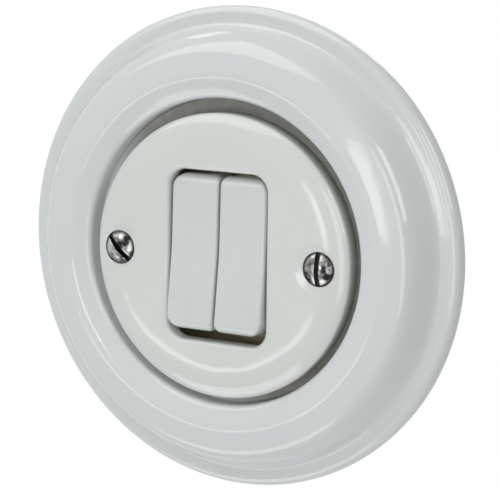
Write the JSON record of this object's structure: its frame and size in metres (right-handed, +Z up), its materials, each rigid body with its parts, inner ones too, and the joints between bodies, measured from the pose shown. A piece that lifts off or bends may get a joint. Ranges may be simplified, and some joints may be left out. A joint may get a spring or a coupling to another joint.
{
  "type": "flush light switch",
  "caption": "Flush wall light switch with two tall rocker keys in a rounded window, a glazed cover disc held by slotted screws, and a wide glazed ring with a beaded opening.",
  "frame": {"origin": "centre of the cover disc, on the wall plane", "axes": "+X right and +Z up as seen from the room, -Y out of the wall towards the user"},
  "size_m": [0.1, 0.0297, 0.1],
  "materials": {
    "ring_glaze": "cool white glossy glaze",
    "cover_glaze": "white glossy glaze, slightly warmer than the ring",
    "nickel": "bright nickel plate",
    "key_plastic": "white moulded urea plastic, satin gloss",
    "cradle_plastic": "natural nylon",
    "plunger_plastic": "brown phenolic",
    "spring_steel": "bright drawn wire",
    "contact_brass": "stamped brass",
    "contact_silver": "silver contact metal",
    "base_moulding": "moulded insulating plastic",
    "zinc_steel": "zinc plated steel",
    "strap_steel": "yellow zinc plated steel"
  },
  "bodies": {
    "housing": {"outer_ring": "ring_glaze", "cover_disc": "cover_glaze", "cover_screws": "nickel", "switch_base": "base_moulding", "fixed_contacts": "contact_silver", "line_terminal": "contact_brass", "load_terminal_left": "contact_brass", "load_terminal_right": "contact_brass", "terminal_clamps": "zinc_steel", "terminal_screws": "zinc_steel", "mounting_strap": "strap_steel", "strap_screws": "zinc_steel"},
    "rocker_left": {"key_left": "key_plastic", "cradle_left": "cradle_plastic", "plunger_left": "plunger_plastic", "plunger_spring_left": "spring_steel"},
    "rocker_right": {"key_right": "key_plastic", "cradle_right": "cradle_plastic", "plunger_right": "plunger_plastic", "plunger_spring_right": "spring_steel"},
    "lever_left": {"contact_lever_left": "contact_brass", "moving_contact_left": "contact_silver"},
    "lever_right": {"contact_lever_right": "contact_brass", "moving_contact_right": "contact_silver"}
  },
  "joints": [
    {"name": "key_left_rock", "type": "hinge", "parent": "housing", "child": "rocker_left", "pos_m": [-0.0056, -0.0016, 0], "axis": [1, 0, 0], "range_deg": [0, 9]},
    {"name": "key_right_rock", "type": "hinge", "parent": "housing", "child": "rocker_right", "pos_m": [0.0056, -0.0016, 0], "axis": [1, 0, 0], "range_deg": [0, 9]},
    {"name": "lever_left_tip", "type": "hinge", "parent": "housing", "child": "lever_left", "pos_m": [-0.0056, 0.0096, 0], "axis": [1, 0, 0], "range_deg": [-14, 0]},
    {"name": "lever_right_tip", "type": "hinge", "parent": "housing", "child": "lever_right", "pos_m": [0.0056, 0.0096, 0], "axis": [1, 0, 0], "range_deg": [-14, 0]}
  ],
  "couplings": [
    {"joint": "lever_left_tip", "follows": "key_left_rock", "ratio": -1.5556},
    {"joint": "lever_right_tip", "follows": "key_right_rock", "ratio": -1.5556}
  ]
}
